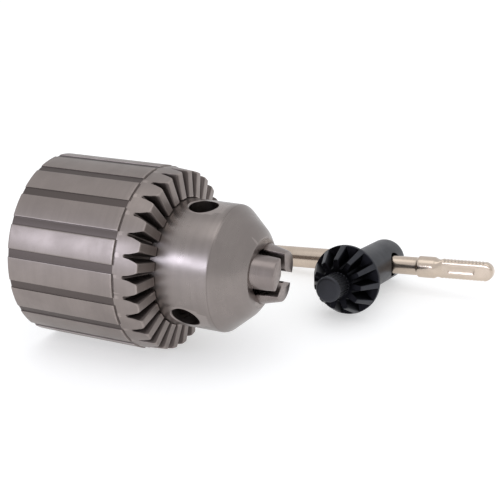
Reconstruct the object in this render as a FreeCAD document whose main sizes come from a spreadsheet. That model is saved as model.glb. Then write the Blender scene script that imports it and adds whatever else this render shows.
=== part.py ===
import FreeCAD, Part
import math
import os
import re
import Sketcher
from FreeCAD import Matrix, Placement, Rotation, Vector

# Keyed three-jaw drill chuck with its key, in millimetres.
# +X runs along the chuck's axis from the taper socket to the jaws, +Z is up.
# The origin is the centre of the socket's mouth. The chuck lies on its sleeve.

DIMENSIONS = [
    ("sleeve_radius", 31.75, "outside of the sleeve's lands"),
    ("land_length", 40.5, "length of the lands, from the rear face"),
    ("edge_break", 0.5, "small chamfer on outer edges"),
    ("groove_width", 3.0, "width of a sleeve groove"),
    ("groove_depth", 0.35, "depth of a sleeve groove"),
    ("groove_count", 18, "grooves around the sleeve"),
    ("shoulder_radius", 31.35, "sleeve shoulder behind the teeth"),
    ("tooth_outer_radius", 30.6, "outer end of a tooth's crest"),
    ("tooth_outer_place", 49.15, "outer end of a tooth's crest, along the axis"),
    ("tooth_inner_place", 50.6, "inner end of a tooth's crest, along the axis"),
    ("tooth_depth", 5.1, "tooth depth at the outer end, along the axis"),
    ("ring_teeth", 28, "teeth on the sleeve"),
    ("ring_root_share", 0.18, "width of a root, in the sleeve's tooth pitches"),
    ("ring_space_share", 0.66, "width of a space at the crests, in pitches"),
    ("key_teeth", 11, "teeth on the key"),
    ("key_root_share", 0.28, "width of a root, in the key's tooth pitches"),
    ("key_space_share", 0.84, "width of a space above the crests, in pitches"),
    ("key_hole_place", 58.9, "key hole centre, along the axis"),
    ("key_hole_radius", 4.85, "key pilot hole"),
    ("key_hole_floor", 11.0, "bottom of a key hole, from the axis"),
    ("key_hole_rim", 5.25, "countersink of a key hole"),
    ("front_radius", 21.6, "body in front of the sleeve"),
    ("neck_rear_radius", 22.3, "body inside the nut, rear end"),
    ("neck_front_radius", 19.4, "body inside the nut, front end"),
    ("front_gap", 0.25, "radial gap between sleeve and body at the front"),
    ("cone_start", 69.2, "front edge of the body's cylinder"),
    ("rim_place", 76.9, "front edge of the nose cone"),
    ("rim_radius", 15.0, "radius of that edge"),
    ("nose_place", 79.0, "front face of the body"),
    ("nose_radius", 12.0, "outer edge of the front face"),
    ("drill_bore_radius", 8.2, "bore behind the jaws for the tool's shank"),
    ("drill_bore_floor", 44.0, "end of that bore"),
    ("drill_bore_point", 2.0, "cone at that end"),
    ("push_hole_radius", 3.5, "hole from the socket to the bore"),
    ("socket_mouth_radius", 10.3, "taper socket, large end"),
    ("socket_end_radius", 9.475, "taper socket, small end"),
    ("socket_length", 30.96, "length of the taper"),
    ("socket_relief", 2.0, "run-out behind the taper"),
    ("flange_radius", 28.4, "rear of the body, inside the sleeve"),
    ("cavity_radius", 28.7, "rear bore of the sleeve"),
    ("seat_radius", 24.6, "body under the ball bearing"),
    ("bearing_rear", 29.2, "shoulder that carries the bearing"),
    ("race_thickness", 1.6, "bearing race, along the axis"),
    ("race_inner_radius", 25.7, "bore of both races"),
    ("ball_radius", 1.19, "bearing ball"),
    ("ball_clearance", 0.06, "gap between ball and race groove"),
    ("ball_count", 24, "balls in the bearing"),
    ("ball_pitch_radius", 26.75, "circle of the ball centres"),
    ("cage_thickness", 0.9, "ball cage, along the axis"),
    ("cage_inner_radius", 25.0, "inside of the cage"),
    ("cage_pocket_radius", 1.25, "pocket in the cage"),
    ("nut_radius", 27.0, "outside of the nut, pressed in the sleeve"),
    ("nut_rear", 34.4, "rear face of the nut"),
    ("nut_front", 44.4, "front face of the nut"),
    ("nut_gap", 0.3, "gap around the nut's faces and thread"),
    ("nut_split", 0.1, "gap at each split between the nut's halves"),
    ("thread_pitch", 3.0, "jaw travel in one turn of the sleeve"),
    ("thread_depth", 1.1, "depth of the jaws' teeth"),
    ("thread_root", 0.72, "width of a root between the jaws' teeth"),
    ("jaw_radius", 5.75, "jaw"),
    ("jaw_fit", 0.06, "radial clearance of a jaw in its bore"),
    ("jaw_lean", 16.0, "angle between a jaw and the chuck's axis"),
    ("jaw_tip_place", 86.5, "front faces of the jaws, at rest"),
    ("jaw_tip_offset", 2.9, "jaw's centre from the axis, at the tip"),
    ("jaw_length", 58.0, "jaw"),
    ("jaw_rack_length", 41.0, "toothed length of a jaw, from its rear end"),
    ("grip_radius", 2.3, "gripping edges from the axis, at rest"),
    ("grip_flat", 1.2, "width of a gripping edge"),
    ("grip_open", 8.0, "gripping edges from the axis, fully open"),
    ("jaw_back_radius", 28.3, "limit of a jaw's rear end, fully open"),
    ("jaw_bore_end", 9.0, "rear end of the jaw bores, along the axis"),
    ("first_jaw_angle", 37.5, "first jaw around the axis, from +Y"),
    ("first_crest_angle", 39.0, "first sleeve tooth around the axis"),
    ("pinion_radius", 13.16, "key's gear over its rim"),
    ("pinion_length", 8.7, "key's gear without its rim"),
    ("pinion_rim", 1.2, "rim behind the key's teeth"),
    ("pinion_small_radius", 9.4, "front end of the key's teeth"),
    ("pinion_root_radius", 8.4, "key's tooth roots at the rim"),
    ("pilot_radius", 4.76, "key's pilot"),
    ("pilot_length", 9.4, "key's pilot, in front of the teeth"),
    ("shank_radius", 8.1, "key's shank"),
    ("shank_length", 44.6, "from the rim's front to the shank's end"),
    ("bar_place", 33.4, "handle bar from the rim's front"),
    ("bar_hole_radius", 4.7, "cross hole in the shank"),
    ("bar_radius", 4.3, "plain arm of the handle bar"),
    ("bar_long_arm", 60.0, "length of that arm"),
    ("bar_short_arm", 47.3, "arm with the thumb end"),
    ("bar_neck_radius", 3.6, "short arm between shank and collar"),
    ("collar_start", 17.2, "collar on the short arm"),
    ("collar_end", 24.2, "front of that collar"),
    ("collar_radius", 4.25, "that collar"),
    ("collar_bevel", 0.7, "chamfer behind the collar"),
    ("collar_taper", 3.0, "taper in front of the collar"),
    ("thumb_start", 23.5, "rear of the flat thumb end, inside the collar"),
    ("thumb_height", 7.5, "flat thumb end, across its serrations"),
    ("thumb_thickness", 4.6, "flat thumb end"),
    ("serration_count", 12, "serrations along each edge"),
    ("serration_start", 28.3, "first serration"),
    ("serration_pitch", 1.38, "distance between serrations"),
    ("serration_radius", 0.5, "hollow between two serrations"),
    ("serration_lift", 0.15, "centre of a hollow outside the thumb end's edge"),
    ("key_place_x", 89.75, "centre of the key's rim, along X"),
    ("key_place_y", 52.85, "centre of the key's rim, along Y"),
    ("key_heading", 87.4, "direction of the key's shank, from +X"),
    ("bar_turn", 4.6, "handle's turn about the key's shank"),
]

doc = FreeCAD.newDocument("drill_chuck")
sheet = doc.addObject("Spreadsheet::Sheet", "params")
for row, (alias, value, meaning) in enumerate(DIMENSIONS, start=1):
    sheet.set("A%d" % row, meaning)
    sheet.set("B%d" % row, str(value))
    sheet.setAlias("B%d" % row, alias)
doc.recompute()

X_AXIS = Vector(1, 0, 0)
Z_AXIS = Vector(0, 0, 1)
parts = {}


def dim(alias):
    """Value of one cell of the sheet."""
    return float(sheet.get(alias))


def linked(text):
    """The same expression with every cell name pointed at the sheet."""
    return re.sub(r"[a-z_]{3,}", lambda word: "params." + word.group(), text)


def number(text):
    """Value of an expression written with cell names."""
    return float(sheet.evalExpression(text))


def keep(label, item):
    """Name a finished sub-part."""
    item.Label = label
    parts[label] = item
    return item


# ---------------------------------------------------------------- building blocks

def outline(body, name, role, corners):
    """Closed sketch of straight edges; corners are pairs of cell expressions."""
    sketch = body.newObject("Sketcher::SketchObject", name)
    plane = [item for item in body.Origin.OriginFeatures if item.Role == role][0]
    sketch.AttachmentSupport = [(plane, "")]
    sketch.MapMode = "FlatFace"
    places = [Vector(number(across), number(along), 0) for across, along in corners]
    count = len(places)
    for index in range(count):
        edge = Part.LineSegment(places[index], places[(index + 1) % count])
        sketch.addGeometry(edge, False)
    for index in range(count):
        joined = Sketcher.Constraint("Coincident", index, 2, (index + 1) % count, 1)
        sketch.addConstraint(joined)
    for index, corner in enumerate(corners):
        sides = zip(("DistanceX", "DistanceY"), corner, (places[index].x, places[index].y))
        for kind, text, value in sides:
            constraint = Sketcher.Constraint(kind, -1, 1, index, 1, value)
            slot = sketch.addConstraint(constraint)
            sketch.setExpression("Constraints[%d]" % slot, linked(text))
    return sketch


def turned(name, corners):
    """Body turned about the X axis from an outline of (place, radius) corners."""
    body = doc.addObject("PartDesign::Body", name)
    sketch = outline(body, name + "_profile", "XY_Plane", corners)
    turn = body.newObject("PartDesign::Revolution", name + "_turn")
    turn.Profile = sketch
    turn.ReferenceAxis = (sketch, ["H_Axis"])
    turn.Angle = 360
    body.Tip = turn
    return body


def rod(name, radius, length, place):
    """Cylinder along the Z axis of its placement."""
    item = doc.addObject("Part::Cylinder", name)
    item.setExpression("Radius", linked(radius))
    item.setExpression("Height", linked(length))
    item.Placement = place
    return item


def solid(name, shape):
    """Plain shape as an object of the document."""
    item = doc.addObject("Part::Feature", name)
    item.Shape = shape
    return item


def joined(name, items):
    """Union of several objects."""
    item = doc.addObject("Part::MultiFuse", name)
    item.Shapes = items
    return item


def cut(name, base, tool):
    """Base without tool."""
    item = doc.addObject("Part::Cut", name)
    item.Base = base
    item.Tool = tool
    return item


def common(name, items):
    """What all the items share."""
    item = doc.addObject("Part::MultiCommon", name)
    item.Shapes = items
    return item


def outward(angle):
    """Unit vector away from the X axis, at an angle in degrees from +Y."""
    return Vector(0, math.cos(math.radians(angle)), math.sin(math.radians(angle)))


def frame_at(origin, local_x, local_z):
    """Placement from an origin and two of its axes."""
    local_y = local_z.cross(local_x)
    matrix = Matrix(local_x.x, local_y.x, local_z.x, origin.x,
                    local_x.y, local_y.y, local_z.y, origin.y,
                    local_x.z, local_y.z, local_z.z, origin.z,
                    0, 0, 0, 1)
    return Placement(matrix)


def tapered_block(near, far):
    """Solid between two four-cornered sections."""
    wires = [Part.makePolygon(section + section[:1]) for section in (near, far)]
    return Part.makeLoft(wires, True, True)


# ---------------------------------------------------------------- jaws' geometry

LEAN = math.radians(dim("jaw_lean"))
JAW_ANGLES = [dim("first_jaw_angle") + 120 * index for index in range(3)]
OPEN_TRAVEL = (dim("grip_open") - dim("grip_radius")) / math.sin(LEAN)


def jaw_direction(angle):
    """Forward direction of the jaw that lies at an angle around the axis."""
    return X_AXIS * math.cos(LEAN) - outward(angle) * math.sin(LEAN)


def jaw_frame(angle, travel):
    """Frame on a jaw's centre line: Z forward, X away from the chuck's axis."""
    forward = jaw_direction(angle)
    away = X_AXIS * math.sin(LEAN) + outward(angle) * math.cos(LEAN)
    tip = Vector(dim("jaw_tip_place"), 0, 0) + outward(angle) * dim("jaw_tip_offset")
    return frame_at(tip + forward * travel, away, forward)


def jaw_bore(index, angle):
    """Inclined bore that opens at the nose and ends inside the body."""
    overrun = 4.0
    place = jaw_frame(angle, 0)
    rear = (dim("jaw_bore_end") - dim("jaw_tip_place")) / math.cos(LEAN)
    start = place.multVec(Vector(0, 0, rear))
    return rod("jaw_bore_%d" % (index + 1), "jaw_radius + jaw_fit", "%g" % (overrun - rear),
               Placement(start, place.Rotation))


def grip_prism(index, angle):
    """Prism along the chuck's axis that gives a jaw its gripping edge and front face."""
    half_flat = dim("grip_flat") / 2
    reach = 4 * dim("jaw_radius")
    depth = 2 * reach
    rear = Vector(dim("jaw_tip_place") - 2 * dim("jaw_length"), 0, 0)
    flare = dim("grip_radius") + (reach - half_flat) / math.sqrt(3)
    across = outward(angle + 90)
    corners = []
    for radius, side in ((dim("grip_radius"), -half_flat), (dim("grip_radius"), half_flat),
                         (flare, reach), (depth, reach), (depth, -reach), (flare, -reach)):
        corners.append(rear + outward(angle) * radius + across * side)
    face = Part.Face(Part.makePolygon(corners + corners[:1]))
    prism = face.extrude(Vector(2 * dim("jaw_length"), 0, 0))
    return solid("grip_prism_%d" % (index + 1), prism)


def rack_cutter(index, angle):
    """Row of tooth spaces on the outer side of a jaw, shifted a third of a pitch per jaw."""
    pitch = dim("thread_pitch")
    depth = dim("thread_depth")
    half_width = 1.5 * dim("jaw_radius")
    half_root = dim("thread_root") / 2
    top = dim("jaw_radius") + depth
    spaces = []
    start = -dim("jaw_length") + pitch * (index + 1) / 3
    count = int((dim("jaw_rack_length") - pitch) / pitch)
    for number_of_space in range(count):
        middle = start + number_of_space * pitch
        spaces.append([Vector(dim("jaw_radius") - depth, -half_width, middle - half_root),
                       Vector(dim("jaw_radius") - depth, -half_width, middle + half_root),
                       Vector(top, -half_width, middle + pitch / 2),
                       Vector(top, -half_width, middle - pitch / 2)])
    solids = []
    for section in spaces:
        face = Part.Face(Part.makePolygon(section + section[:1]))
        solids.append(face.extrude(Vector(0, 2 * half_width, 0)))
    cutter = solid("rack_cutter_%d" % (index + 1), Part.makeCompound(solids))
    cutter.Placement = jaw_frame(angle, 0)
    return cutter


def make_jaw(index, angle):
    """Round jaw with a three-sided grip, a rack of teeth and a relieved rear end."""
    suffix = str(index + 1)
    place = jaw_frame(angle, 0)
    front_overrun = 6.0
    blank = rod("jaw_blank_" + suffix, "jaw_radius", "jaw_length + %g" % front_overrun,
                Placement(place.multVec(Vector(0, 0, -dim("jaw_length"))), place.Rotation))
    limit_start = jaw_direction(angle) * OPEN_TRAVEL
    limit = rod("jaw_limit_" + suffix, "jaw_back_radius", "2 * jaw_length",
                frame_at(limit_start, outward(0), X_AXIS))
    shaped = common("jaw_shaped_" + suffix, [blank, grip_prism(index, angle), limit])
    jaw = cut("jaw_cut_" + suffix, shaped, rack_cutter(index, angle))
    return keep("jaw_" + suffix, jaw)


# ---------------------------------------------------------------- chuck body

def make_body():
    """Turned body with its taper socket, jaw bores and key holes."""
    blank = turned("body_blank", [
        ("0", "socket_mouth_radius"),
        ("0", "flange_radius - edge_break"),
        ("edge_break", "flange_radius"),
        ("bearing_rear", "flange_radius"),
        ("bearing_rear", "seat_radius"),
        ("nut_rear - nut_gap", "seat_radius"),
        ("nut_rear - nut_gap", "neck_rear_radius"),
        ("nut_front + nut_gap", "neck_front_radius"),
        ("nut_front + nut_gap", "front_radius"),
        ("cone_start", "front_radius"),
        ("rim_place", "rim_radius"),
        ("nose_place", "nose_radius"),
        ("nose_place", "drill_bore_radius"),
        ("drill_bore_floor", "drill_bore_radius"),
        ("drill_bore_floor - drill_bore_point", "push_hole_radius"),
        ("socket_length + socket_relief", "push_hole_radius"),
        ("socket_length + socket_relief", "socket_end_radius"),
        ("socket_length", "socket_end_radius"),
    ])
    overrun = 1.0
    tools = [jaw_bore(index, angle) for index, angle in enumerate(JAW_ANGLES)]
    for index, angle in enumerate(JAW_ANGLES):
        direction = outward(angle + 60)
        floor = Vector(dim("key_hole_place"), 0, 0) + direction * dim("key_hole_floor")
        tools.append(rod("key_hole_%d" % (index + 1), "key_hole_radius", "front_radius",
                         frame_at(floor, X_AXIS, direction)))
        sink = doc.addObject("Part::Cone", "key_sink_%d" % (index + 1))
        sink.setExpression("Radius1", linked("key_hole_radius"))
        sink.setExpression("Radius2", linked("key_hole_rim") + " + %g" % overrun)
        sink.setExpression("Height", linked("key_hole_rim - key_hole_radius") + " + %g" % overrun)
        depth = dim("front_radius") - (dim("key_hole_rim") - dim("key_hole_radius"))
        mouth = Vector(dim("key_hole_place"), 0, 0) + direction * depth
        sink.Placement = frame_at(mouth, X_AXIS, direction)
        tools.append(sink)
    return keep("chuck_body", cut("body_cut", blank, joined("body_tools", tools)))


# ---------------------------------------------------------------- sleeve

def ring_tooth_space(angle):
    """Space between two sleeve teeth: its four sides meet where the key's axis crosses."""
    apex = Vector(dim("key_hole_place"), 0, 0)
    outer = dim("tooth_outer_radius")
    pitch_angle = 2 * math.pi / dim("ring_teeth")
    root_slope = (apex.x - dim("tooth_outer_place") + dim("tooth_depth")) / outer
    crest_slope = (apex.x - dim("tooth_outer_place")) / outer
    top_slope = (apex.x - dim("tooth_outer_place") - dim("tooth_depth") / 2) / outer
    root_half = dim("ring_root_share") / 2 * pitch_angle
    crest_half = dim("ring_space_share") / 2 * pitch_angle
    overrun = 2.0
    spread = (crest_half - root_half) / (root_slope - crest_slope)
    top_half = crest_half + spread * (crest_slope - top_slope)
    sections = []
    for radius in (dim("front_radius") - overrun, dim("sleeve_radius") + overrun):
        section = []
        for slope, half in ((root_slope, -root_half), (root_slope, root_half),
                            (top_slope, top_half), (top_slope, -top_half)):
            corner = apex - X_AXIS * (radius * slope)
            section.append(corner + outward(angle) * radius + outward(angle + 90) * (radius * half))
        sections.append(section)
    return tapered_block(*sections)


def make_sleeve():
    """Sleeve with grooves along its lands and bevel teeth on its front."""
    body = turned("sleeve_blank", [
        ("0", "cavity_radius + edge_break"),
        ("0", "sleeve_radius - edge_break"),
        ("edge_break", "sleeve_radius"),
        ("land_length", "sleeve_radius"),
        ("land_length", "shoulder_radius"),
        ("tooth_outer_place", "tooth_outer_radius"),
        ("tooth_inner_place", "front_radius + front_gap"),
        ("nut_front", "front_radius + front_gap"),
        ("nut_front", "nut_radius"),
        ("nut_rear", "nut_radius"),
        ("nut_rear", "cavity_radius"),
        ("edge_break", "cavity_radius"),
    ])
    section = outline(body, "groove_section", "YZ_Plane", [
        ("-groove_width / 2", "sleeve_radius - groove_depth"),
        ("groove_width / 2", "sleeve_radius - groove_depth"),
        ("groove_width / 2", "sleeve_radius + 1"),
        ("-groove_width / 2", "sleeve_radius + 1"),
    ])
    groove = body.newObject("PartDesign::Pocket", "groove")
    groove.Profile = section
    groove.Reversed = True
    groove.setExpression("Length", linked("land_length"))
    body.Tip = groove
    around = body.newObject("PartDesign::PolarPattern", "grooves")
    around.Originals = [groove]
    around.Axis = (section, ["N_Axis"])
    around.Angle = 360
    around.setExpression("Occurrences", linked("groove_count"))
    body.Tip = around
    pitch = 360 / dim("ring_teeth")
    spaces = []
    for index in range(int(dim("ring_teeth"))):
        spaces.append(ring_tooth_space(dim("first_crest_angle") + (index + 0.5) * pitch))
    cutter = solid("ring_tooth_spaces", Part.makeCompound(spaces))
    return keep("sleeve", cut("sleeve_cut", body, cutter))


# ---------------------------------------------------------------- nut and bearing

def jaw_envelope(place):
    """Outer reach of the jaws' teeth at a place along the axis."""
    behind = dim("jaw_tip_place") - place
    return (dim("jaw_tip_offset") + behind * math.tan(LEAN)
            + dim("jaw_radius") / math.cos(LEAN))


def make_nut():
    """Split nut: a ring with a conical bore around the jaws' teeth."""
    slope = math.tan(LEAN)
    reach = dim("nut_radius") + 1
    ring = turned("nut_ring", [
        ("nut_rear", "%.6f + nut_gap" % jaw_envelope(dim("nut_rear"))),
        ("nut_rear", "nut_radius"),
        ("nut_front", "nut_radius"),
        ("nut_front", "%.6f + nut_gap - (nut_front - nut_rear) * %.6f"
         % (jaw_envelope(dim("nut_rear")), slope)),
    ])
    for label, side in (("nut_half_a", 1), ("nut_half_b", -1)):
        half = doc.addObject("Part::Box", label + "_side")
        half.setExpression("Length", linked("nut_front"))
        half.setExpression("Width", linked("2 * nut_radius + 2"))
        half.setExpression("Height", linked("nut_radius"))
        height = dim("nut_split") / 2 if side > 0 else -dim("nut_split") / 2 - dim("nut_radius")
        half.Placement = Placement(Vector(dim("nut_front") / 2, -reach, height), Rotation())
        keep(label, common(label + "_common", [ring, half]))


def make_bearing():
    """Two grooved races, a cage and its balls."""
    middle = (dim("bearing_rear") + dim("nut_rear")) / 2
    groove = doc.addObject("Part::Torus", "ball_track")
    groove.setExpression("Radius1", linked("ball_pitch_radius"))
    groove.setExpression("Radius2", linked("ball_radius + ball_clearance"))
    groove.Placement = Placement(Vector(middle, 0, 0), Rotation(Vector(0, 1, 0), 90))
    for label, rear, front in (
            ("bearing_race_rear", "bearing_rear", "bearing_rear + race_thickness"),
            ("bearing_race_front", "nut_rear - race_thickness", "nut_rear")):
        ring = turned(label + "_ring", [
            (rear, "race_inner_radius"), (rear, "flange_radius"),
            (front, "flange_radius"), (front, "race_inner_radius")])
        keep(label, cut(label + "_cut", ring, groove))
    cage = turned("cage_ring", [
        ("%g - cage_thickness / 2" % middle, "cage_inner_radius"),
        ("%g - cage_thickness / 2" % middle, "flange_radius"),
        ("%g + cage_thickness / 2" % middle, "flange_radius"),
        ("%g + cage_thickness / 2" % middle, "cage_inner_radius")])
    count = int(dim("ball_count"))
    pockets = []
    for index in range(count):
        angle = 360 * index / count
        centre = Vector(middle, 0, 0) + outward(angle) * dim("ball_pitch_radius")
        pocket = rod("cage_pocket_%02d" % (index + 1), "cage_pocket_radius", "4 * cage_thickness",
                     frame_at(centre - X_AXIS * (2 * dim("cage_thickness")), outward(0), X_AXIS))
        pockets.append(pocket)
        ball = doc.addObject("Part::Sphere", "ball_%02d" % (index + 1))
        ball.setExpression("Radius", linked("ball_radius"))
        ball.Placement = Placement(centre, Rotation())
        keep("bearing_ball_%02d" % (index + 1), ball)
    keep("ball_cage", cut("cage_cut", cage, joined("cage_pockets", pockets)))


# ---------------------------------------------------------------- key

def key_frame():
    """Frame of the key: X along the shank, Y across, at the centre of the rim's front."""
    fall = math.atan2(dim("pinion_radius") - dim("shank_radius"), dim("shank_length"))
    heading = math.radians(dim("key_heading"))
    along = Vector(math.cos(heading) * math.cos(fall), math.sin(heading) * math.cos(fall),
                   -math.sin(fall))
    height = dim("pinion_radius") * math.cos(fall) - dim("sleeve_radius")
    centre = Vector(dim("key_place_x"), dim("key_place_y"), height)
    across = along.cross(Z_AXIS)
    across.normalize()
    return frame_at(centre, along, across.cross(along))


def key_tooth_space(angle):
    """Space between two teeth of the key, closed by the rim at its large end."""
    pitch_angle = 2 * math.pi / dim("key_teeth")
    ratio = dim("pinion_small_radius") / dim("pinion_radius")
    top_ratio = 1.25
    overrun = 1.25
    sections = []
    for place, scale in ((0.0, 1.0),
                         (-overrun * dim("pinion_length"), 1 - overrun * (1 - ratio))):
        root = dim("pinion_root_radius") * scale
        top = top_ratio * dim("pinion_radius") * scale
        root_half = dim("key_root_share") / 2 * pitch_angle * dim("pinion_radius") * scale
        top_half = dim("key_space_share") / 2 * pitch_angle * dim("pinion_radius") * scale
        section = []
        for radius, half in ((root, -root_half), (root, root_half), (top, top_half),
                             (top, -top_half)):
            corner = X_AXIS * place + outward(angle) * radius
            section.append(corner + outward(angle + 90) * half)
        sections.append(section)
    return tapered_block(*sections)


def make_key_gear(place):
    """Key's pilot, bevel gear and shank in one piece, with the handle's cross hole."""
    blank = turned("key_blank", [
        ("-pinion_length - pilot_length", "0"),
        ("-pinion_length - pilot_length", "pilot_radius - edge_break"),
        ("edge_break - pinion_length - pilot_length", "pilot_radius"),
        ("-pinion_length", "pilot_radius"),
        ("-pinion_length", "pinion_small_radius"),
        ("0", "pinion_radius"),
        ("pinion_rim", "pinion_radius"),
        ("pinion_rim", "shank_radius"),
        ("shank_length - 2 * edge_break", "shank_radius"),
        ("shank_length", "shank_radius - 2 * edge_break"),
        ("shank_length", "0"),
    ])
    pitch = 360 / dim("key_teeth")
    spaces = [key_tooth_space(index * pitch) for index in range(int(dim("key_teeth")))]
    cutter = solid("key_tooth_spaces", Part.makeCompound(spaces))
    toothed = cut("key_toothed", blank, cutter)
    start = Vector(dim("bar_place"), -2 * dim("shank_radius"), 0)
    hole = rod("bar_hole", "bar_hole_radius", "4 * shank_radius",
               frame_at(start, X_AXIS, Vector(0, 1, 0)))
    gear = cut("key_gear_cut", toothed, hole)
    gear.Placement = place
    return keep("key_gear", gear)


def make_handle(place):
    """Handle bar: plain arm, staked middle, collar and a serrated flat thumb end."""
    bar = turned("bar_blank", [
        ("-bar_long_arm", "0"),
        ("-bar_long_arm", "bar_radius - 2 * edge_break"),
        ("2 * edge_break - bar_long_arm", "bar_radius"),
        ("-shank_radius / 2", "bar_radius"),
        ("-shank_radius / 2", "bar_hole_radius"),
        ("shank_radius / 2", "bar_hole_radius"),
        ("shank_radius / 2", "bar_neck_radius"),
        ("collar_start", "bar_neck_radius"),
        ("collar_start + collar_bevel", "collar_radius"),
        ("collar_end", "collar_radius"),
        ("collar_end + collar_taper", "thumb_thickness / 2"),
        ("collar_end + collar_taper", "0"),
    ])
    length = dim("bar_short_arm") - dim("thumb_start")
    half_height = dim("thumb_height") / 2
    thickness = dim("thumb_thickness")
    end = dim("bar_short_arm") - half_height
    flat = Part.makeBox(length - half_height, thickness, 2 * half_height,
                        Vector(dim("thumb_start"), -thickness / 2, -half_height))
    nose = Part.makeCylinder(half_height, thickness, Vector(end, -thickness / 2, 0),
                             Vector(0, 1, 0))
    thumb = solid("thumb_blank", flat.fuse(nose).removeSplitter())
    hollows = []
    for side in (-1, 1):
        for index in range(int(dim("serration_count"))):
            along = dim("serration_start") + index * dim("serration_pitch")
            edge = side * (half_height + dim("serration_lift"))
            hollows.append(rod("serration_%s_%02d" % ("low" if side < 0 else "high", index + 1),
                               "serration_radius", "2 * thumb_thickness",
                               frame_at(Vector(along, -thickness, edge),
                                        X_AXIS, Vector(0, 1, 0))))
    serrated = cut("thumb_cut", thumb, joined("serrations", hollows))
    handle = joined("handle_joined", [bar, serrated])
    turn = Placement(Vector(dim("bar_place"), 0, 0), Rotation(X_AXIS, -dim("bar_turn")))
    crossing = Placement(Vector(), Rotation(Z_AXIS, -90))
    handle.Placement = place.multiply(turn).multiply(crossing)
    return keep("key_handle", handle)


# ---------------------------------------------------------------- whole object

make_body()
make_sleeve()
make_nut()
make_bearing()
for jaw_index, jaw_angle in enumerate(JAW_ANGLES):
    make_jaw(jaw_index, jaw_angle)
KEY_PLACE = key_frame()
make_key_gear(KEY_PLACE)
make_handle(KEY_PLACE)
doc.recompute()

for item in doc.Objects:
    if "Invalid" in item.State or "Error" in item.State:
        raise RuntimeError("%s did not build: %s" % (item.Name, item.State))
os.makedirs("parts", exist_ok=True)
for label, item in parts.items():
    if item.Shape.isNull() or not item.Shape.isValid():
        raise RuntimeError("%s has no valid shape" % label)
    item.Shape.exportStep(os.path.join("parts", label + ".step"))
    print("%-20s %2d solid(s) %10.1f mm3" % (label, len(item.Shape.Solids), item.Shape.Volume))
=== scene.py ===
import math

import bpy
import numpy as np
from bpy.props import FloatProperty, FloatVectorProperty, IntProperty, PointerProperty
from mathutils import Matrix, Vector


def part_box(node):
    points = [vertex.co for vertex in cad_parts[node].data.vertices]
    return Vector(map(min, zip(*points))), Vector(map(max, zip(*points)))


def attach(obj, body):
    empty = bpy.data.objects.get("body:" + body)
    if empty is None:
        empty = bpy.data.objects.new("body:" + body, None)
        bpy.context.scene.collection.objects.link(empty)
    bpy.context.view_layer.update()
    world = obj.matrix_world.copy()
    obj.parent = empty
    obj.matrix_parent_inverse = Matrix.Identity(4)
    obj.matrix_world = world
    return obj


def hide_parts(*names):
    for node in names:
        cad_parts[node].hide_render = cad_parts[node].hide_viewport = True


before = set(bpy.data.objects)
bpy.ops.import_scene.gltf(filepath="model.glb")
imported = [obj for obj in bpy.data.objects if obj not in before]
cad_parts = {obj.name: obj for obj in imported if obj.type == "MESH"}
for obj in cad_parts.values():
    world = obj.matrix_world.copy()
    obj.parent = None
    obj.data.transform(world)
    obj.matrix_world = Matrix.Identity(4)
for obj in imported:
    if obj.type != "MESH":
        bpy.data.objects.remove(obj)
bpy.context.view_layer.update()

bl_info = {
    "name": "Keyed drill chuck",
    "version": (1, 0, 0),
    "blender": (4, 5, 0),
    "location": "3D View > Sidebar > Chuck",
    "description": "Builds a keyed drill chuck and its key from turned and toothed surfaces",
    "category": "Add Mesh",
}

MM = 0.001
THIRD = 2 * math.pi / 3
X_AXIS = np.array([1.0, 0.0, 0.0])
SLEEVE_LOW, SLEEVE_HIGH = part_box("sleeve")
JAW_FRONT = max(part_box("jaw_%d" % number)[1].x for number in (1, 2, 3))

# Outlines of the sleeve as (place, radius) in mm: its lands, and from the shoulder over the
# outer end of a tooth's crest to the inner end.
LAND_OUTLINE = ((0, 0), (0, 31.75), (40.5, 31.75))
SHOULDER, CREST_OUTER, CREST_INNER = (40.5, 31.35), (49.15, 30.6), (50.6, 21.85)
# The key's gear in mm: its length in front of the rim, and the radius of its small end.
GEAR_LENGTH, GEAR_SMALL_RADIUS = 8.7, 9.4


# ---- settings

def length(label, text, default):
    """A length property in metres."""
    return FloatProperty(name=label, description=text, default=default, min=0.0,
                         unit="LENGTH", subtype="DISTANCE", precision=5)


def colour(label, text, default):
    """A linear colour property."""
    return FloatVectorProperty(name=label, description=text, default=default, size=3,
                               min=0.0, max=1.0, subtype="COLOR")


def turn(label, text, degrees):
    """An angle property in radians."""
    return FloatProperty(name=label, description=text, default=math.radians(degrees),
                         unit="ROTATION", subtype="ANGLE")


class ChuckSleeveSettings(bpy.types.PropertyGroup):
    """Sizes of the grooved and toothed sleeve."""
    radius: length("Radius", "Outside of the lands", SLEEVE_HIGH.y)
    land_length: length("Land length", "Length of the lands from the rear face", 40.5 * MM)
    grooves: IntProperty(name="Grooves", description="Grooves around the sleeve",
                         default=18, min=3)
    groove_width: length("Groove width", "Width of a groove", 3.0 * MM)
    groove_depth: length("Groove depth", "Depth of a groove", 0.35 * MM)
    groove_turn: turn("Groove turn", "Centre of the first groove, from +Y", 10.0)
    teeth: IntProperty(name="Teeth", description="Bevel teeth on the front", default=28, min=8)
    tooth_turn: turn("Tooth turn", "Crest of the first tooth, from +Y", 39.0)
    tooth_depth: length("Tooth depth", "Depth at the outer end, along the axis", 5.1 * MM)
    bore: length("Front bore", "Bore around the body", 21.85 * MM)


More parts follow.
